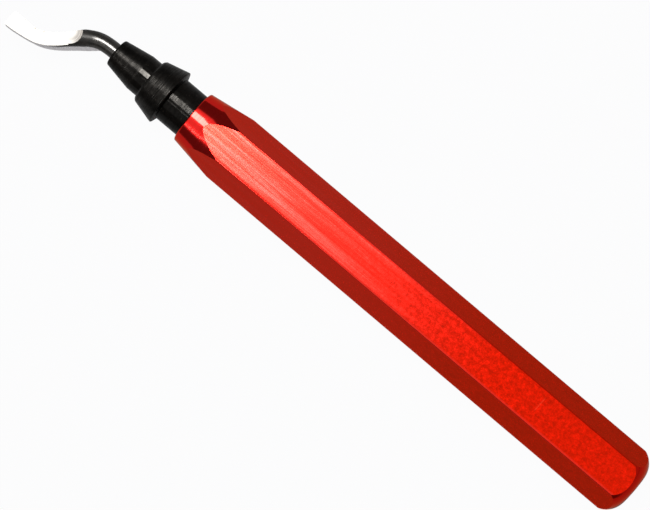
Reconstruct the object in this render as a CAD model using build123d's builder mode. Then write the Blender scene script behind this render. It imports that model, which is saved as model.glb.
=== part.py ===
from build123d import *
import math
import os

# Pen-type deburring tool: a hexagonal aluminium handle, a turned steel chuck with a
# spring-loaded release sleeve, and a swivelling S-shaped blade.
# The tool axis is +X, from the butt of the handle to the blade. +Z is the outward
# normal of the handle's top facet. The origin is the centre of the flat butt face.
# Stations named "_u", and the first column of every table, are distances forward of
# the handle's front face. Sizes are in mm, angles in degrees.

# ---------------------------------------------------------------- shared
overcut = 1.0               # how far cutters reach past the surface they open
drill_cone = 118.0          # included angle of a drilled hole's end

# ---------------------------------------------------------------- handle sizes
handle_len = 107.6
across_flats = 12.0
hex_edge_r = 0.20
nose_rim_r = 5.47           # turned cone at the front face
nose_half_angle = 8.75
nose_edge_r = 0.32
butt_arc_r = 4.3            # turned butt radius
butt_flat_r = 2.82
envelope_r = 9.0            # the turned envelope clears the bar between its ends
envelope_butt_x = butt_arc_r + 1.0
envelope_nose_u = -15.0
front_bore_r = 4.70         # houses the sleeve's skirt and the spring
front_bore_depth = 9.5
tail_hole_r = 3.00          # takes the chuck's tail
tail_hole_depth = 23.0      # from the front face
bore_mouth_c = 0.15

front_x = handle_len        # the handle's front face
corner_r = across_flats / 2 / math.cos(math.radians(30))
nose_start_r = corner_r + 0.6
nose_len = (nose_start_r - nose_rim_r) / math.tan(math.radians(nose_half_angle))

# ---------------------------------------------------------------- locking ball sizes
ball_r = 1.40
ball_u = 5.5
ball_centre_r = 2.50        # ball centre when the blade is locked

# ---------------------------------------------------------------- chuck body sizes
tail_r = tail_hole_r + 0.01     # interference in the handle
tail_end_u = -22.4
tail_c = 0.5
barrel_r = 3.87
cone_start_u = 12.95
cone_end_u = 18.85
cone_end_r = 2.81
nose_fillet_r = 0.42
socket_r = 1.65             # blade socket
socket_end_u = -6.9
socket_mouth_c = 0.12
ball_hole_r = ball_r + 0.02
ring_groove_u = 9.88
ring_groove_w = 0.58
ring_groove_r = 3.54

# ---------------------------------------------------------------- release sleeve sizes
ramp_slope = 0.2            # ball lift for each millimetre of pull
ramp_ball_gap = 0.02        # between the ramp and a ball at rest
ramp_top_r = 4.50           # clearance bore over the lifted balls
sleeve_bore_r = 3.90
skirt_r = 4.60
skirt_end_u = -3.5
skirt_outer_c = 0.15
skirt_inner_c = 0.12
collar_back_u = 5.15
collar_back_r = 4.72
collar_max_u = 5.58
collar_max_r = 5.95
collar_max_fillet_r = 0.20
collar_front_u = 10.20
collar_front_r = 4.76
collar_front_fillet_r = 0.22
collar_face_u = 10.54
collar_face_r = 4.42
flange_back_u = 9.24
flange_front_u = 9.86
counterbore_r = 4.13

ramp_over_ball_r = ball_centre_r + ball_r * math.sqrt(1 + ramp_slope**2) + ramp_ball_gap
ramp_start_u = ball_u - (ramp_over_ball_r - sleeve_bore_r) / ramp_slope
ramp_end_u = ramp_start_u + (ramp_top_r - sleeve_bore_r) / ramp_slope

# ---------------------------------------------------------------- ring and spring sizes
ring_wire_r = 0.27
ring_centre_r = 3.83
ring_gap = 1.6
ring_u = ring_groove_u + ring_groove_w / 2
ring_cutter = 2.0           # length and depth of the block that cuts the gap

spring_wire_r = 0.25
spring_mean_r = 4.29
spring_turns = 5
spring_end_gap = 0.02
spring_len = front_bore_depth + skirt_end_u - 2 * (spring_wire_r + spring_end_gap)

# ---------------------------------------------------------------- blade sizes
shank_r = 1.60
shank_end_u = -6.3
shank_end_c = 0.35
ball_groove_r = 1.45        # section radius of the groove for the balls
bend_start_u = 19.0
bend_line = [               # centreline of the bends, (u, y)
    (20.55, 0.04), (21.39, 0.14), (22.18, 0.29), (22.88, 0.51), (23.54, 0.80),
    (24.19, 1.16), (24.86, 1.58), (25.54, 2.07), (26.22, 2.61), (26.90, 3.22),
    (27.57, 3.86), (28.26, 4.53), (28.98, 5.21), (29.75, 5.85), (30.58, 6.46),
    (31.53, 6.98), (32.53, 7.34), (33.44, 7.54), (34.69, 7.75), (36.14, 7.93),
]
hook_u, hook_y = 37.35, 8.04    # where the bends end and the straight starts
hook_rise = 0.04                # slope of the straight end of the hook

tip_u = 38.40
tip_low_y = 6.23
tip_high_y = 9.69
tip_corner_r = 0.85
tip_keep_len = 6.0              # rounded rectangle that is kept, back from the tip
tip_cutter_len = 5.0
tip_cutter_w = 6.0
tip_cutter_offset = 0.5         # of the cutter's centre, forward of the tip
tip_cutter_low_z = -2.5
tip_cutter_height = 5.0

web_low_z = -1.45               # forged web along the outside of the bends
web_high_z = -0.15
web_taper = 27.0
web_outer = [                   # outer edge of the web at its low face, (u, y)
    (20.31, 1.08), (21.50, 1.75), (22.88, 2.95), (24.61, 4.32), (26.33, 5.77),
    (28.06, 7.10), (29.08, 7.73), (30.45, 8.38), (31.82, 8.78), (32.86, 8.96),
]
web_root = [                    # closes the web along the rod, (u, y)
    (32.70, 7.45), (29.00, 5.20), (24.50, 1.40), (21.00, 0.10),
]

face_z = 0.85                   # ground cutting face
pad_low_z = -0.95               # flattened pad that broadens the end of the hook
pad_high_z = face_z + 0.05
pad_outline = [                 # (u, y)
    (32.70, 7.15), (33.50, 5.90), (tip_u + 0.6, 5.86), (tip_u + 0.6, 8.05), (34.60, 7.75),
]

runout_u = 28.10                # centre of the cutter's arc where the face runs out
runout_y = 2.54
runout_r = 2.48
runout_taper = 18.0             # the run-out wall leans back
grind_depth = 1.2
grind_front_u = tip_u + 3
grind_high_y = tip_high_y + 2.0
grind_outline = [               # (u, y), joined to the circle of the cutter
    (runout_u, runout_y - runout_r), (grind_front_u, runout_y - runout_r),
    (grind_front_u, grind_high_y), (runout_u - 1.75, grind_high_y),
    (runout_u - 1.75, runout_y + 2.6), (runout_u - 1.42, runout_y + 2.03),
    (runout_u, runout_y),
]

relief_deg = 13.0
relief_overlap = 0.3            # height of the relief cutter above the face
relief_low_z = -2.2
cutting_edge = [                # inner edge of the ground face, (u, y, share of the relief)
    (25.70, 0.04, 0.0), (26.52, 1.06, 0.5), (27.18, 1.84, 1.0), (28.40, 3.20, 1.0),
    (29.95, 4.57, 1.0), (31.68, 5.74, 1.0), (32.61, 6.14, 1.0), (33.58, 6.33, 1.0),
    (35.62, 6.33, 1.0), (37.85, 6.29, 1.0), (40.12, 6.25, 1.0),
]
relief_outer = [(40.0, -3.0), (29.0, -3.0)]     # closes the relief cutter clear of the blade


# ---------------------------------------------------------------- helpers
def from_front(points):
    """Turns (u, y) points into (X, Y) points."""
    return [(front_x + u, y) for u, y in points]


def bore_mouth(face_u, radius, chamfer):
    """Half-profile of a bore's chamfered mouth, from the axis in front of the face."""
    return [
        (face_u + overcut, 0),
        (face_u + overcut, radius + chamfer),
        (face_u, radius + chamfer),
        (face_u - chamfer, radius),
    ]


def drill_point_len(radius):
    return radius / math.tan(math.radians(drill_cone / 2))


def nearest_vertex(sketch, u, y):
    return sketch.vertices().sort_by_distance((front_x + u, y))[0]


def side_step(points, distances):
    """Moves each point to the left of its line's direction, by its own distance."""
    moved = []
    for i, (x, y) in enumerate(points):
        before_x, before_y = points[max(i - 1, 0)]
        after_x, after_y = points[min(i + 1, len(points) - 1)]
        step_x, step_y = after_x - before_x, after_y - before_y
        shift = distances[i] / math.hypot(step_x, step_y)
        moved.append((x - step_y * shift, y + step_x * shift))
    return moved


# ---------------------------------------------------------------- handle
def make_handle():
    with BuildPart() as handle:
        with BuildSketch(Plane.YZ) as hex_section:
            RegularPolygon(radius=across_flats / 2, side_count=6, major_radius=False)
            fillet(hex_section.vertices(), radius=hex_edge_r)
        extrude(amount=handle_len)
        # the turned envelope trims the bar to a cone at the front and a dome at the butt
        butt_flat_edge = (0, butt_flat_r)
        butt_arc_end = (butt_arc_r, butt_flat_r + butt_arc_r)
        with BuildSketch(Plane.XY) as envelope:
            with BuildLine():
                Line((0, 0), butt_flat_edge)
                RadiusArc(butt_flat_edge, butt_arc_end, butt_arc_r)
                Polyline(
                    butt_arc_end,
                    (envelope_butt_x, envelope_r),
                    (front_x + envelope_nose_u, envelope_r),
                    (front_x - nose_len, nose_start_r),
                    (front_x, nose_rim_r),
                    (front_x, 0),
                    (0, 0),
                )
            make_face()
            fillet(nearest_vertex(envelope, 0, nose_rim_r), radius=nose_edge_r)
        revolve(axis=Axis.X, mode=Mode.INTERSECT)
        # stepped bore from the front face
        bore = bore_mouth(0, front_bore_r, bore_mouth_c) + [
            (-front_bore_depth, front_bore_r),
            (-front_bore_depth, tail_hole_r),
            (-tail_hole_depth, tail_hole_r),
            (-tail_hole_depth - drill_point_len(tail_hole_r), 0),
        ]
        with BuildSketch(Plane.XY):
            with BuildLine():
                Polyline(*from_front(bore), close=True)
            make_face()
        revolve(axis=Axis.X, mode=Mode.SUBTRACT)
    return handle.part


# ---------------------------------------------------------------- chuck body
def make_chuck_body():
    turned = [
        (tail_end_u, 0),
        (tail_end_u, tail_r - tail_c),
        (tail_end_u + tail_c, tail_r),
        (-front_bore_depth, tail_r),
        (-front_bore_depth, barrel_r),
        (cone_start_u, barrel_r),
        (cone_end_u, cone_end_r),
        (cone_end_u, 0),
    ]
    socket = bore_mouth(cone_end_u, socket_r, socket_mouth_c) + [
        (socket_end_u, socket_r),
        (socket_end_u - drill_point_len(socket_r), 0),
    ]
    ring_groove = [
        (ring_groove_u, ring_groove_r),
        (ring_groove_u + ring_groove_w, ring_groove_r),
        (ring_groove_u + ring_groove_w, barrel_r + overcut),
        (ring_groove_u, barrel_r + overcut),
    ]
    with BuildPart() as chuck_body:
        with BuildSketch(Plane.XY) as profile:
            with BuildLine():
                Polyline(*from_front(turned), close=True)
            make_face()
            fillet(nearest_vertex(profile, cone_end_u, cone_end_r), radius=nose_fillet_r)
        revolve(axis=Axis.X)
        for cut in (socket, ring_groove):
            with BuildSketch(Plane.XY):
                with BuildLine():
                    Polyline(*from_front(cut), close=True)
                make_face()
            revolve(axis=Axis.X, mode=Mode.SUBTRACT)
        # cross hole that carries the two locking balls
        with BuildSketch(Plane.XY):
            with Locations((front_x + ball_u, 0)):
                Circle(ball_hole_r)
        extrude(amount=barrel_r + overcut, both=True, mode=Mode.SUBTRACT)
    return chuck_body.part


# ---------------------------------------------------------------- release sleeve
def make_release_sleeve():
    # along the outside to the front face, then back through the bore
    turned = [
        (skirt_end_u, sleeve_bore_r + skirt_inner_c),
        (skirt_end_u, skirt_r - skirt_outer_c),
        (skirt_end_u + skirt_outer_c, skirt_r),
        (collar_back_u, skirt_r),
        (collar_back_u, collar_back_r),
        (collar_max_u, collar_max_r),
        (collar_front_u, collar_front_r),
        (collar_face_u, collar_face_r),
        (collar_face_u, counterbore_r),
        (flange_front_u, counterbore_r),
        (flange_front_u, sleeve_bore_r),
        (flange_back_u, sleeve_bore_r),
        (flange_back_u, ramp_top_r),
        (ramp_end_u, ramp_top_r),
        (ramp_start_u, sleeve_bore_r),
        (skirt_end_u + skirt_inner_c, sleeve_bore_r),
    ]
    with BuildPart() as sleeve:
        with BuildSketch(Plane.XY) as profile:
            with BuildLine():
                Polyline(*from_front(turned), close=True)
            make_face()
            fillet(nearest_vertex(profile, collar_max_u, collar_max_r), collar_max_fillet_r)
            fillet(nearest_vertex(profile, collar_front_u, collar_front_r), collar_front_fillet_r)
        revolve(axis=Axis.X)
    return sleeve.part


# ---------------------------------------------------------------- retaining ring
def make_retaining_ring():
    """Round-wire snap ring with a gap at the bottom."""
    with BuildPart() as ring:
        with BuildSketch(Plane.XY):
            with Locations((front_x + ring_u, ring_centre_r)):
                Circle(ring_wire_r)
        revolve(axis=Axis.X)
        with BuildSketch(Plane.XY.offset(-ring_centre_r - overcut)):
            with Locations((front_x + ring_u, 0)):
                Rectangle(ring_cutter, ring_gap)
        extrude(amount=ring_cutter, mode=Mode.SUBTRACT)
    return ring.part


# ---------------------------------------------------------------- return spring
def make_return_spring():
    """Compression spring round the barrel, from the bore's shoulder to the sleeve's skirt."""
    start_x = front_x - front_bore_depth + spring_wire_r + spring_end_gap
    with BuildPart() as spring:
        with BuildLine() as coil:
            Helix(
                pitch=spring_len / spring_turns,
                height=spring_len,
                radius=spring_mean_r,
                center=(start_x, 0, 0),
                direction=(1, 0, 0),
            )
        with BuildSketch(Plane(origin=coil.line @ 0, z_dir=coil.line % 0)):
            Circle(spring_wire_r)
        sweep(path=coil.line, is_frenet=True)
    return spring.part


# ---------------------------------------------------------------- locking balls
def make_locking_ball(centre_z):
    with BuildPart() as ball:
        with Locations((front_x + ball_u, 0, centre_z)):
            Sphere(ball_r)
    return ball.part


# ---------------------------------------------------------------- blade
def web_sections():
    """(z, outer edge) of the web's low and high faces."""
    inset = (web_high_z - web_low_z) * math.tan(math.radians(web_taper))
    low = from_front(web_outer)
    return [(web_low_z, low), (web_high_z, side_step(low, [-inset] * len(low)))]


def relief_sections():
    """(z, edge) of the relief cutter's low and high faces, which lean about the cutting edge."""
    edge = from_front([(u, y) for u, y, share in cutting_edge])
    slope = math.tan(math.radians(relief_deg))
    sections = []
    for depth in (face_z - relief_low_z, -relief_overlap):
        shifts = [depth * slope * share for u, y, share in cutting_edge]
        sections.append((face_z - depth, side_step(edge, shifts)))
    return sections


def make_blade():
    shank_end_x = front_x + shank_end_u
    bend_start = (front_x + bend_start_u, 0)
    hook_start = (front_x + hook_u, hook_y)
    hook_end_u = tip_u + overcut
    hook_end = (front_x + hook_end_u, hook_y + hook_rise * (hook_end_u - hook_u))
    tip_mid_y = (tip_low_y + tip_high_y) / 2

    with BuildPart() as blade:
        # round rod: straight shank, bends, straight end of the hook
        with BuildLine() as rod_path:
            Line((shank_end_x, 0), bend_start)
            Spline(bend_start, *from_front(bend_line), hook_start,
                   tangents=[(1, 0), (1, hook_rise)])
            Line(hook_start, hook_end)
        with BuildSketch(Plane.YZ.offset(shank_end_x)):
            Circle(shank_r)
        sweep(path=rod_path.line)
        # forged web that stiffens the bends, with a sloping flank
        for z, edge in web_sections():
            with BuildSketch(Plane.XY.offset(z)):
                with BuildLine():
                    Spline(*edge)
                    Polyline(edge[-1], *from_front(web_root), edge[0])
                make_face()
        loft(ruled=True)
        # flattened pad that makes the end of the hook broader than the rod
        with BuildSketch(Plane.XY.offset(pad_low_z)):
            with BuildLine():
                Polyline(*from_front(pad_outline), close=True)
            make_face()
        extrude(amount=pad_high_z - pad_low_z)
        # ground cutting face: a flat that ends at the shank in the arc of the cutter
        with BuildSketch(Plane.XY.offset(face_z)):
            with BuildLine():
                Polyline(*from_front(grind_outline), close=True)
            make_face()
            with Locations((front_x + runout_u, runout_y)):
                Circle(runout_r)
        extrude(amount=grind_depth, taper=-runout_taper, mode=Mode.SUBTRACT)
        # relief ground under the cutting edge, on the inner side of the hook
        for z, edge in relief_sections():
            with BuildSketch(Plane.XY.offset(z)):
                with BuildLine():
                    Spline(*edge)
                    Polyline(edge[-1], *from_front(relief_outer), edge[0])
                make_face()
        loft(ruled=True, mode=Mode.SUBTRACT)
        # rounded tip, in plan
        with BuildSketch(Plane.XY.offset(tip_cutter_low_z)):
            with Locations((front_x + tip_u + tip_cutter_offset, tip_mid_y)):
                Rectangle(tip_cutter_len, tip_cutter_w)
            with BuildSketch(mode=Mode.PRIVATE) as tip_keep:
                with Locations((front_x + tip_u - tip_keep_len / 2, tip_mid_y)):
                    RectangleRounded(tip_keep_len, tip_high_y - tip_low_y, tip_corner_r)
            add(tip_keep.sketch, mode=Mode.SUBTRACT)
        extrude(amount=tip_cutter_height, mode=Mode.SUBTRACT)
        # annular groove for the balls
        with BuildSketch(Plane.XY):
            with Locations((front_x + ball_u, ball_centre_r)):
                Circle(ball_groove_r)
        revolve(axis=Axis.X, mode=Mode.SUBTRACT)
        # chamfered shank end
        chamfer_back_x = shank_end_x - 0.1
        chamfer_front_x = shank_end_x + shank_end_c
        chamfer_outer_r = shank_r + 0.3
        with BuildSketch(Plane.XY):
            with BuildLine():
                Polyline(
                    (chamfer_back_x, shank_r - shank_end_c),
                    (shank_end_x, shank_r - shank_end_c),
                    (chamfer_front_x, shank_r),
                    (chamfer_front_x, chamfer_outer_r),
                    (chamfer_back_x, chamfer_outer_r),
                    close=True,
                )
            make_face()
        revolve(axis=Axis.X, mode=Mode.SUBTRACT)
    return blade.part


# ---------------------------------------------------------------- export
pieces = {
    "handle": make_handle(),
    "chuck_body": make_chuck_body(),
    "release_sleeve": make_release_sleeve(),
    "retaining_ring": make_retaining_ring(),
    "return_spring": make_return_spring(),
    "locking_ball_upper": make_locking_ball(ball_centre_r),
    "locking_ball_lower": make_locking_ball(-ball_centre_r),
    "blade": make_blade(),
}

os.makedirs("parts", exist_ok=True)
for name, piece in pieces.items():
    piece.label = name
    export_step(piece, f"parts/{name}.step")
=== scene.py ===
# A hand tool with a hooked cutting blade: a red hexagonal handle, a black chuck with a release
# sleeve, and the blade in the chuck. The tool's axis is the X axis: butt at low X, blade
# toward +X, +Z up. The bench lies under the handle's lower facet.
import math

import bpy
from mathutils import Matrix, Vector


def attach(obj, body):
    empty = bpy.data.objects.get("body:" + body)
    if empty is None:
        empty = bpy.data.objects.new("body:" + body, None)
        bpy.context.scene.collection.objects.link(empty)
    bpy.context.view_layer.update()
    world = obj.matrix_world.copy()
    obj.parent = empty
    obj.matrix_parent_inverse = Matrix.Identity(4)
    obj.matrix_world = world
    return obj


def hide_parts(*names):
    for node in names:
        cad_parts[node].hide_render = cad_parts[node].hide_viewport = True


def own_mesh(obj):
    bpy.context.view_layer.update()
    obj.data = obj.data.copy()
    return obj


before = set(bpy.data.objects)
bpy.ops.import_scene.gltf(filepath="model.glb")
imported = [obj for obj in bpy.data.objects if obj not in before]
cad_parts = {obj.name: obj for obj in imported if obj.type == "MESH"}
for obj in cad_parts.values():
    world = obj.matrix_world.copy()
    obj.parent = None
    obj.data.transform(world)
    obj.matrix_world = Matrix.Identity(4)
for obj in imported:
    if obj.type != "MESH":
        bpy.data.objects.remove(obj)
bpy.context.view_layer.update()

MM = 0.001
HANDLE_FRONT = 0.1076           # X of the handle's front face

scene = bpy.context.scene
scene.view_settings.view_transform = "Standard"
scene.view_settings.look = "None"
scene.view_settings.exposure = 0.0
scene.view_settings.gamma = 1.0


def from_front(distance):
    """X of a point this many millimetres ahead of the handle's front face."""
    return HANDLE_FRONT + distance * MM


# ------------------------------------------------------------------ node helpers
class Value:
    """A node's output. Arithmetic on it adds Math nodes to its graph."""

    def __init__(self, graph, socket):
        self.graph = graph
        self.socket = socket

    def __add__(self, other):
        return self.graph.math("ADD", self, other)

    def __sub__(self, other):
        return self.graph.math("SUBTRACT", self, other)

    def __rsub__(self, other):
        return self.graph.math("SUBTRACT", other, self)

    def __mul__(self, other):
        return self.graph.math("MULTIPLY", self, other)

    def __truediv__(self, other):
        return self.graph.math("DIVIDE", self, other)

    def __abs__(self):
        return self.graph.math("ABSOLUTE", self)

    def max(self, other):
        return self.graph.math("MAXIMUM", self, other)

    def mul_add(self, by, plus, clamp=False):
        return self.graph.math("MULTIPLY_ADD", self, by, plus, clamp=clamp)

    def ramp(self, lo, hi, at_lo=0.0, at_hi=1.0):
        """Smooth step from at_lo to at_hi as the value goes from lo to hi (lo may exceed hi)."""
        inputs = dict(enumerate((self, lo, hi, at_lo, at_hi)))
        return self.graph.add("ShaderNodeMapRange", inputs, interpolation_type="SMOOTHSTEP")


def put(socket, value):
    """Links a Value to the socket, or sets the socket to a number, vector or colour."""
    if isinstance(value, Value):
        value.graph.tree.links.new(value.socket, socket)
        return
    if socket.type == "RGBA" and len(value) == 3:
        value = (*value, 1.0)
    socket.default_value = value


def radial(a, b):
    """Length of the flat vector (a, b)."""
    return (a * a + b * b).graph_sqrt() if False else a.graph.math("SQRT", a * a + b * b)


class Graph:
    """The node tree of a world or material. Methods add a node and return its output."""

    def __init__(self, owner, output_kind):
        owner.use_nodes = True
        self.owner = owner
        self.tree = owner.node_tree
        self.tree.nodes.clear()
        self.output = self.tree.nodes.new(output_kind)

    def node(self, kind, inputs, **settings):
        node = self.tree.nodes.new(kind)
        for name, setting in settings.items():
            setattr(node, name, setting)
        for key, value in inputs.items():
            put(node.inputs[key], value)
        return node

    def add(self, kind, inputs, output=0, **settings):
        return Value(self, self.node(kind, inputs, **settings).outputs[output])

    def math(self, operation, *values, clamp=False):
        inputs = dict(enumerate(values))
        return self.add("ShaderNodeMath", inputs, operation=operation, use_clamp=clamp)

    def xyz(self, vector):
        node = self.node("ShaderNodeSeparateXYZ", {0: vector})
        return [Value(self, socket) for socket in node.outputs]

    def geometry(self, output):
        return self.add("ShaderNodeNewGeometry", {}, output)

    def camera_ray(self):
        return self.add("ShaderNodeLightPath", {}, "Is Camera Ray")

    def mix(self, factor, a, b):
        """Mixes two colours."""
        return self.add("ShaderNodeMix", {0: factor, 6: a, 7: b}, 2, data_type="RGBA")

    def blend(self, factor, a, b):
        """Mixes two numbers."""
        return self.add("ShaderNodeMix", {0: factor, 2: a, 3: b}, data_type="FLOAT")

    def finish(self, shader):
        put(self.output.inputs[0], shader)
        return self.owner


class Material(Graph):
    def __init__(self, name):
        super().__init__(bpy.data.materials.new(name), "ShaderNodeOutputMaterial")
        self.coord = self.add("ShaderNodeTexCoord", {}, "Object")

    def noise(self, along, across, detail, rough, loc=(0, 0, 0), vector=None):
        """Noise of scale `along` in X and `across` in Y and Z."""
        mapped = self.add("ShaderNodeMapping", {
            "Vector": vector or self.coord, "Location": loc, "Scale": (along, across, across)})
        return self.add("ShaderNodeTexNoise", {
            "Vector": mapped, "Scale": 1.0, "Detail": detail, "Roughness": rough})

    def bump(self, height, strength, distance, **more):
        return self.add("ShaderNodeBump", {
            "Strength": strength, "Distance": distance, "Height": height, **more})

    def principled(self, **inputs):
        named = {key.replace("_", " "): value for key, value in inputs.items()}
        return self.add("ShaderNodeBsdfPrincipled", named)


# ------------------------------------------------------------------ handle
def make_anodised():
    # colours as (near the butt, toward the front); the paler, pinker front colours are painted
    # highlight where the key light falls
    dye_deep_and_front_highlight = (0.55, 0.0120, 0.0020), (0.64, 0.0235, 0.0150)
    dye_light_and_front_highlight = (0.93, 0.0130, 0.0014), (0.86, 0.0210, 0.0130)
    dye_turned_and_front_highlight = (0.80, 0.0110, 0.0050), (0.86, 0.0165, 0.0125)
    # paler tint for the long edges: rubbed edges with a painted highlight
    rubbed_edge_and_highlight = (0.95, 0.040, 0.024)
    scratched = (0.95, 0.055, 0.020)
    scratch_x = 23.7 * MM
    scratch_slant = 0.03                # X gained per unit of Y
    crown_curve = -760.0                # height lost per squared distance past the crown radius

    mt = Material("red_anodised_aluminium")
    x, y, z = mt.xyz(mt.coord)
    nx, ny, nz = mt.xyz(mt.geometry("True Normal"))
    fore = x.ramp(lo=0.030, hi=0.085)   # 0 near the butt, 1 toward the front

    # turned ends are told from the drawn facets by how far the surface leans along X
    turned = abs(nx).ramp(lo=0.04, hi=0.10)
    # the long edges of the hexagon are rubbed smoother than the facets
    facing = abs(nz)
    for degrees in (60, 120):
        angle = math.radians(degrees)
        facing = facing.max(abs(nz * math.cos(angle) + ny * math.sin(angle)))
    rim = radial(y, z).ramp(lo=6.70 * MM, hi=6.80 * MM)
    edge = rim.max(facing.ramp(lo=0.9995, hi=0.985)) * (1.0 - turned)
    smooth = turned.max(edge)

    # lengthwise drawing lines: long in X, fine across
    lines_fine = mt.noise(along=120, across=4300, detail=2, rough=0.6)
    lines_wide = mt.noise(along=60, across=1900, detail=2, rough=0.5, loc=(3.1, 0, 0))
    bands = mt.noise(along=16, across=620, detail=1, rough=0.5, loc=(0, 7, 0))
    lines = lines_fine * 0.25 + lines_wide.mul_add(by=0.42, plus=bands * 0.33) - 0.5
    # mottled grain left by etching and anodising
    fine_grain = mt.noise(along=2900, across=2900, detail=2, rough=0.65)
    blotch = mt.noise(along=1000, across=1000, detail=2, rough=0.6, loc=(1, 4, 2))
    grain = fine_grain.mul_add(by=0.5, plus=blotch * 0.5) - 0.5
    # lines gain on the grain toward the front
    line_weight = fore.mul_add(by=1.15, plus=0.20)
    grain_weight = fore.mul_add(by=-0.76, plus=1.0)
    texture = lines * line_weight + grain * grain_weight
    # turned ends carry fine rings instead
    rings = mt.noise(along=5200, across=260, detail=2, rough=0.5)
    drawn = 1.0 - turned
    texture = texture * drawn + (rings - 0.5) * 0.22 * turned

    # dye: deep red, a little lighter and more orange where the grain is open; toward the front
    # it turns paler and pinker, a painted highlight
    contrast = abs(nz).mul_add(by=0.8, plus=0.2) * fore.mul_add(by=-0.5, plus=1.0)
    openness = (grain * contrast).mul_add(by=3.2, plus=0.5, clamp=True)
    colour = mt.mix(openness, mt.mix(fore, *dye_deep_and_front_highlight), mt.mix(fore, *dye_light_and_front_highlight))
    colour = mt.mix(turned, colour, mt.mix(fore, *dye_turned_and_front_highlight))
    # painted highlight: the rubbed long edges are tinted paler, as where they catch the key
    # light; on the -Y side only toward the front
    edge_highlight_reach = 1.0 - y.ramp(lo=0.5 * MM, hi=-0.5 * MM) * (1.0 - fore)
    colour = mt.mix(edge * edge_highlight_reach * 0.5, colour, rubbed_edge_and_highlight)
    # one shallow cross scratch on the top facet, near the butt
    off = abs(x - y.mul_add(by=scratch_slant, plus=scratch_x))
    span = y.ramp(lo=-2.6 * MM, hi=-1.9 * MM) * y.ramp(lo=1.0 * MM, hi=0.3 * MM)
    on_top = z.ramp(lo=5.8 * MM, hi=5.9 * MM)
    scratch = off.ramp(lo=0.16 * MM, hi=0.03 * MM) * (on_top * span)
    colour = mt.mix(scratch * 0.5, colour, scratched)

    facet_rough = fore.mul_add(by=0.05, plus=0.15)
    rough = texture.mul_add(by=0.25, plus=mt.blend(smooth, facet_rough, 0.12))
    relief = texture - scratch * 0.15
    relief_strength = mt.blend(smooth, 0.60, 0.06)
    normal = mt.bump(relief, strength=relief_strength, distance=0.03 * MM)
    # the margins of the facets roll off a little towards the long edges
    over = (radial(y, z) - 6.66 * MM).max(0.0)
    crown = over * over * (drawn * crown_curve)
    normal = mt.bump(crown, strength=1.0, distance=1.0, Normal=normal)

    # clear sealed skin: shows where it is seen from straight ahead
    slant = mt.add("ShaderNodeLayerWeight", {"Blend": 0.5}, "Facing")
    ahead = slant.ramp(lo=0.12, hi=0.45, at_lo=1.0, at_hi=0.18)
    coat_texture = texture.mul_add(by=0.9, plus=mt.blend(turned, 0.04, 0.065))
    coat_reach = ahead * fore.mul_add(by=0.92, plus=0.08)
    coat = mt.math("MULTIPLY", coat_reach, coat_texture, clamp=True)
    return mt.finish(mt.principled(
        Base_Color=colour, Metallic=1.0, Roughness=rough, Normal=normal,
        Specular_Tint=(1.0, 0.72, 0.58), Coat_Weight=coat, Coat_IOR=2.0,
        Coat_Roughness=rough - 0.03, Coat_Normal=normal))


# ------------------------------------------------------------------ chuck
# Finish zones: from, to (mm ahead of the handle's front face), sheen, roughness, turning marks
BODY_ZONES = [
    (9.0, 12.75, 0.11, 0.09, 0.12),     # oiled neck
    (12.75, 19.5, 0.095, 0.25, 0.8),    # cone
]
SLEEVE_ZONES = [
    (-5.0, 5.2, 0.075, 0.13, 0.25),     # skirt
    (5.2, 11.0, 0.115, 0.27, 1.4),      # collar
]
ZONE_BLUR = 0.08 * MM                   # half width of the change between zones


def make_black(name, ring_scale, zones):
    """Black oxide over turned steel."""
    oxide_dark = (0.0011, 0.0010, 0.0009)
    oxide_pale = (0.0024, 0.0020, 0.0017)
    speck_colour = (0.035, 0.028, 0.020)

    mt = Material(name)
    x, y, z = mt.xyz(mt.coord)
    rings = mt.noise(along=ring_scale, across=20, detail=2, rough=0.6)
    fine = mt.noise(along=ring_scale * 2.6, across=40, detail=2, rough=0.6, loc=(5, 0, 0))
    patina = mt.noise(along=420, across=420, detail=4, rough=0.65, loc=(0, 2, 0))
    specks = mt.noise(along=2400, across=2400, detail=1, rough=0.5)
    turning = rings.mul_add(by=0.6, plus=fine * 0.4)
    colour = mt.mix(patina.ramp(lo=0.35, hi=0.7), oxide_dark, oxide_pale)
    colour = mt.mix(specks.ramp(lo=0.70, hi=0.78, at_hi=0.35), colour, speck_colour)

    sheen, rough, marks = 0.05, 0.16, 0.5       # outside the zones
    for start, end, zone_sheen, zone_rough, zone_marks in zones:
        start, end = from_front(start), from_front(end)
        band = (x.ramp(lo=start - ZONE_BLUR, hi=start + ZONE_BLUR)
                * x.ramp(lo=end + ZONE_BLUR, hi=end - ZONE_BLUR))
        sheen = mt.blend(band, sheen, zone_sheen)
        rough = mt.blend(band, rough, zone_rough)
        marks = mt.blend(band, marks, zone_marks)

    rough = (turning - 0.5).mul_add(by=0.16, plus=(patina - 0.5).mul_add(by=0.10, plus=rough))
    film = mt.noise(along=1300, across=900, detail=2, rough=0.6, loc=(0, 0, 4))
    uneven = patina.mul_add(by=0.6, plus=turning.mul_add(by=1.6, plus=-0.1))
    specular = mt.math("MULTIPLY", sheen, uneven, clamp=True)
    specular = specular * film.ramp(lo=0.30, hi=0.70, at_lo=0.62, at_hi=1.38)
    return mt.finish(mt.principled(
        Base_Color=colour, Metallic=0.0, Roughness=rough,
        Normal=mt.bump(turning, strength=marks, distance=0.03 * MM),
        Specular_IOR_Level=specular, Specular_Tint=(1.0, 0.94, 0.86)))


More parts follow.
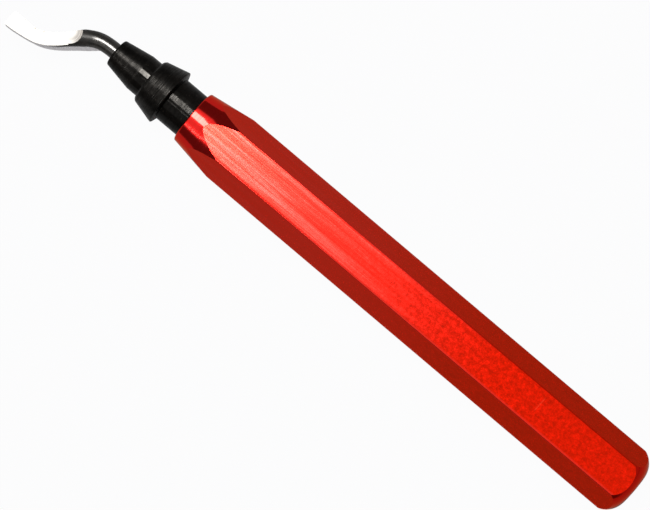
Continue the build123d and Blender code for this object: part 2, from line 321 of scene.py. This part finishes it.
def make_steel(name, base, least_rough, grain_scale):
    """Plain steel with an even grain and faint clouding."""
    mt = Material(name)
    marks = mt.noise(along=grain_scale, across=grain_scale, detail=4, rough=0.6)
    cloud = mt.noise(along=300, across=300, detail=3, rough=0.55, loc=(2, 1, 0))
    clouded = tuple(channel * 0.8 for channel in base)
    return mt.finish(mt.principled(
        Base_Color=mt.mix(cloud.ramp(lo=0.3, hi=0.7), clouded, base), Metallic=1.0,
        Roughness=marks.mul_add(by=0.18, plus=least_rough),
        Normal=mt.bump(marks, strength=0.3, distance=0.02 * MM)))


# ------------------------------------------------------------------ blade
# Burr specks on the cutting edge: mm ahead of the handle's front face, Y in mm, radius in mm
BURR_SPECKS = [(33.30, 6.44, 0.20), (31.62, 5.86, 0.17), (32.8, 6.32, 0.10), (30.55, 7.05, 0.13)]


def make_blade():
    face_pale, face_dark = (0.60, 0.585, 0.555), (0.31, 0.285, 0.26)
    burr = (0.16, 0.10, 0.035)
    web_dark, web_pale = (0.82, 0.80, 0.82), (0.95, 0.925, 0.945)
    # painted shade for the web's narrow up-facing top
    web_top_painted_shade = (0.055, 0.053, 0.054)
    rod_dark, rod_pale = (0.006, 0.0058, 0.0055), (0.013, 0.0115, 0.0105)
    arc_x, arc_y = from_front(28.10), 2.54 * MM     # centre of the cutter's arcs
    face_z = 0.85 * MM                              # height of the cutting face

    mt = Material("ground_tool_steel")
    x, y, z = mt.xyz(mt.coord)
    nx, ny, nz = mt.xyz(mt.geometry("True Normal"))
    near_face = mt.math("COMPARE", z, face_z, 0.02 * MM)
    face = nz.ramp(lo=0.97, hi=0.99) * near_face
    arc_radius = radial(x - arc_x, y - arc_y)
    arc_vector = mt.add("ShaderNodeCombineXYZ", {0: arc_radius, 1: 0.0, 2: 0.0})
    arcs = mt.noise(along=5200, across=1, detail=3, rough=0.6, vector=arc_vector)
    mottle = mt.noise(along=900, across=900, detail=3, rough=0.5)
    draw = mt.noise(along=300, across=2600, detail=3, rough=0.6)
    low = z.ramp(lo=0.10 * MM, hi=-0.12 * MM)

    # the cutter's arcs show on the part of the face beside the run-out wall
    beside = (arc_radius.ramp(lo=0.9 * MM, hi=2.0 * MM)
              * x.ramp(lo=from_front(28.6), hi=from_front(27.2))
              * y.ramp(lo=4.4 * MM, hi=2.6 * MM))
    arc_tone = arcs.ramp(lo=0.36, hi=0.60, at_lo=0.55, at_hi=1.0)
    face_colour = mt.mix(beside * arc_tone, face_pale, face_dark)
    for ahead, side, radius in BURR_SPECKS:
        reach = radial(x - from_front(ahead), y - side * MM)
        spot = reach.ramp(lo=radius * MM, hi=radius * 0.3 * MM, at_hi=0.35)
        face_colour = mt.mix(spot, face_colour, burr)

    # forged web; its narrow up-facing top is painted near black, a painted shade that keeps it
    # from glinting in the key light
    web_colour = mt.mix(draw.ramp(lo=0.30, hi=0.70), web_dark, web_pale)
    shelf = nz.ramp(lo=0.93, hi=0.98) * (1.0 - near_face)
    web_colour = mt.mix(shelf, web_colour, web_top_painted_shade)
    web_rough = shelf.mul_add(by=0.2, plus=draw.mul_add(by=0.2, plus=0.33))
    face_rough = arcs.mul_add(by=0.08, plus=0.76)
    relief = arcs.mul_add(by=0.5, plus=draw * 0.5)
    bright = mt.principled(
        Base_Color=mt.mix(face, web_colour, face_colour), Metallic=1.0,
        Roughness=mt.blend(face, web_rough, face_rough),
        Normal=mt.bump(relief, strength=0.15, distance=0.02 * MM))

    # steam-blued rod, scaled where it was bent hot
    bent = x.ramp(lo=from_front(22.7), hi=from_front(24.3))
    dark = mt.principled(
        Base_Color=mt.mix(mottle.ramp(lo=0.35, hi=0.7), rod_dark, rod_pale), Metallic=0.0,
        Roughness=bent.mul_add(by=0.24, plus=mottle.mul_add(by=0.06, plus=0.13)),
        Specular_IOR_Level=bent.mul_add(by=-0.33, plus=0.52), Specular_Tint=(1.0, 0.97, 0.92),
        Normal=mt.bump(mottle, strength=0.02, distance=0.02 * MM))

    # the hook's end is ground bright all round
    hook_end = x.ramp(lo=from_front(26.8), hi=from_front(30.0), at_hi=0.85)
    ground = face.max(low).max(hook_end)
    return mt.finish(mt.add("ShaderNodeMixShader", {0: ground, 1: dark, 2: bright}))


# ------------------------------------------------------------------ materials onto the pieces
anodised = make_anodised()
black_body = make_black("black_oxide_turned", ring_scale=2600, zones=BODY_ZONES)
black_sleeve = make_black("black_oxide_sleeve", ring_scale=2100, zones=SLEEVE_ZONES)
ring_steel = make_steel(
    "black_oxide_ring", base=(0.06, 0.06, 0.06), least_rough=0.3, grain_scale=900)
spring_steel = make_steel(
    "spring_wire", base=(0.42, 0.42, 0.43), least_rough=0.25, grain_scale=900)
ball_steel = make_steel(
    "bearing_steel", base=(0.7, 0.7, 0.71), least_rough=0.06, grain_scale=400)
blade_steel = make_blade()

PIECE_MATERIALS = {
    "handle": anodised,
    "chuck_body": black_body,
    "release_sleeve": black_sleeve,
    "retaining_ring": ring_steel,
    "return_spring": spring_steel,
    "locking_ball_upper": ball_steel,
    "locking_ball_lower": ball_steel,
    "blade": blade_steel,
}
for name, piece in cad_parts.items():
    piece.data.materials.clear()
    piece.data.materials.append(PIECE_MATERIALS[name])

# the coil that is shown: a copy of the spring with its own mesh, carried by the handle; the
# original is hidden
coil_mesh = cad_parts["return_spring"].data.copy()
coil = bpy.data.objects.new("return_spring_coil", coil_mesh)
scene.collection.objects.link(coil)
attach(coil, "handle")
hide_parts("return_spring")
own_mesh(coil)

# ------------------------------------------------------------------ floor
FLOOR_SIZE = 6.0
FLOOR_X = 0.07
FLOOR_Z = -6.0 * MM


def make_floor_material():
    """Near white to the camera, mid grey to every other ray."""
    mt = Material("studio_floor")
    speck = mt.noise(along=30, across=30, detail=2, rough=0.55)
    tone = mt.mix(speck, (0.0039, 0.0039, 0.00395), (0.0041, 0.0041, 0.00415))
    seen = mt.add("ShaderNodeBsdfDiffuse", {"Color": tone})
    reflected = mt.add("ShaderNodeBsdfDiffuse", {"Color": (0.20, 0.20, 0.20)})
    glow = mt.add("ShaderNodeEmission", {"Color": (0.985, 0.985, 0.99), "Strength": 0.980})
    lit = mt.add("ShaderNodeAddShader", {0: seen, 1: glow})
    return mt.finish(mt.add("ShaderNodeMixShader", {0: mt.camera_ray(), 1: reflected, 2: lit}))


bpy.ops.mesh.primitive_plane_add(size=FLOOR_SIZE, location=(FLOOR_X, 0, FLOOR_Z))
floor = bpy.context.object
floor.name = "studio_floor"
floor.data.materials.append(make_floor_material())


# ------------------------------------------------------------------ world
def make_world():
    """A soft tent, bright overhead, with darker sides."""
    dim, pale = 0.11, 0.38              # radiance of the sides and of the paler cards
    overhead = 0.86
    seen_by_camera = 0.95

    world = bpy.data.worlds.new("studio")
    scene.world = world
    wd = Graph(world, "ShaderNodeOutputWorld")
    incoming_x, incoming_y, incoming_z = wd.xyz(wd.geometry("Incoming"))
    # the direction looked at
    up = incoming_z * -1.0
    look_x = incoming_x * -1.0
    look_y = incoming_y * -1.0
    flat = radial(look_x, look_y)

    def level(value):
        """The value as a share of the direction's horizontal length."""
        return value / flat.max(0.001)

    # a paler card behind, on the -Y side
    toward = level(look_x * -0.58 + look_y * -0.81)
    side = toward.ramp(lo=0.55, hi=0.82, at_lo=dim, at_hi=pale)
    # and at both ends of the bench, but not round on +Y
    along = level(abs(look_x)) - level(look_y).max(0.0) * 0.6
    side = side.max(along.ramp(lo=0.50, hi=0.85, at_lo=dim, at_hi=pale))
    # the bright top reaches lower on +Y
    lift = up + level(look_y).max(0.0) * 0.13
    tent = (side * lift.ramp(lo=0.74, hi=0.66)
            + lift.ramp(lo=0.66, hi=0.74, at_hi=overhead))
    strength = wd.blend(wd.camera_ray(), tent, seen_by_camera)
    wd.finish(wd.add("ShaderNodeBackground", {"Color": (1, 1, 1), "Strength": strength}))


make_world()

# ------------------------------------------------------------------ lights
NOSE_X = 0.115                          # where the lights are aimed from
LIGHT_HEIGHT = 0.70


def placed(x_axis, y_axis, z_axis, place):
    """The matrix of an object with these axes, at this place."""
    rows = [row for row in zip(x_axis, y_axis, z_axis, place)]
    return Matrix((*rows, (0, 0, 0, 1)))


def softbox(name, place, target, along, width, height, radiance):
    """A rectangular area light facing target, with its width in the direction `along`."""
    light = bpy.data.lights.new(name, "AREA")
    light.shape = "RECTANGLE"
    light.size, light.size_y = width, height
    light.energy = radiance * math.pi * width * height
    lamp = bpy.data.objects.new(name, light)
    scene.collection.objects.link(lamp)
    z_axis = (Vector(place) - Vector(target)).normalized()
    x_axis = Vector(along)
    x_axis = (x_axis - x_axis.dot(z_axis) * z_axis).normalized()
    lamp.matrix_world = placed(x_axis, z_axis.cross(x_axis), z_axis, place)


def from_nose(forward, sideways):
    """The point at light height seen these degrees forward and to +Y from the nose."""
    return (NOSE_X + LIGHT_HEIGHT * math.tan(math.radians(forward)),
            LIGHT_HEIGHT * math.tan(math.radians(sideways)), LIGHT_HEIGHT)


def midpoint(start, end):
    return [(a + b) / 2 for a, b in zip(start, end)]


def patch(name, forward, sideways, radiance):
    """A softbox parallel to the bench that fills these ranges of degrees from the nose."""
    start, end = from_nose(forward[0], sideways[0]), from_nose(forward[1], sideways[1])
    middle = midpoint(start, end)
    softbox(name, middle, target=(middle[0], middle[1], 0), along=(1, 0, 0),
            width=end[0] - start[0], height=end[1] - start[1], radiance=radiance)


# key softbox ahead of the nose and overhead, with a hot strip at its near edge
patch("key_strip", forward=(7, 10.5), sideways=(-23, 2), radiance=66.0)
patch("key_softbox", forward=(10.5, 31), sideways=(-23, 2), radiance=26.0)
# two small reflectors on the +Y side
patch("reflector_a", forward=(4.6, 7.0), sideways=(14.5, 18.5), radiance=19.0)
start, end = from_nose(18, 33), from_nose(25, 42)
softbox("reflector_b", midpoint(start, end), target=(NOSE_X, 0, 0),
        along=(end[0] - start[0], end[1] - start[1], 0),
        width=math.dist(start, end), height=0.024, radiance=95.0)

# ------------------------------------------------------------------ camera
# Above the bench, looking down and a little forward
CAMERA_Y = 3.763 * MM
CAMERA_PLACE = Vector((43.35 * MM, CAMERA_Y, 583 * MM))
CAMERA_TARGET = Vector((71.95 * MM, CAMERA_Y, 0))
CAMERA_TURN = math.radians(40.2)        # from -X toward -Y, to the right of the view

camera_data = bpy.data.cameras.new("camera")
camera = bpy.data.objects.new("camera", camera_data)
scene.collection.objects.link(camera)
view = (CAMERA_TARGET - CAMERA_PLACE).normalized()
right = Vector((-math.cos(CAMERA_TURN), -math.sin(CAMERA_TURN), 0))
right = (right - right.dot(view) * view).normalized()
camera.matrix_world = placed(right, right.cross(view), -view, CAMERA_PLACE)
camera_data.sensor_width = 36.0
camera_data.lens = 173.2
camera_data.clip_start, camera_data.clip_end = 0.01, 20
scene.camera = camera
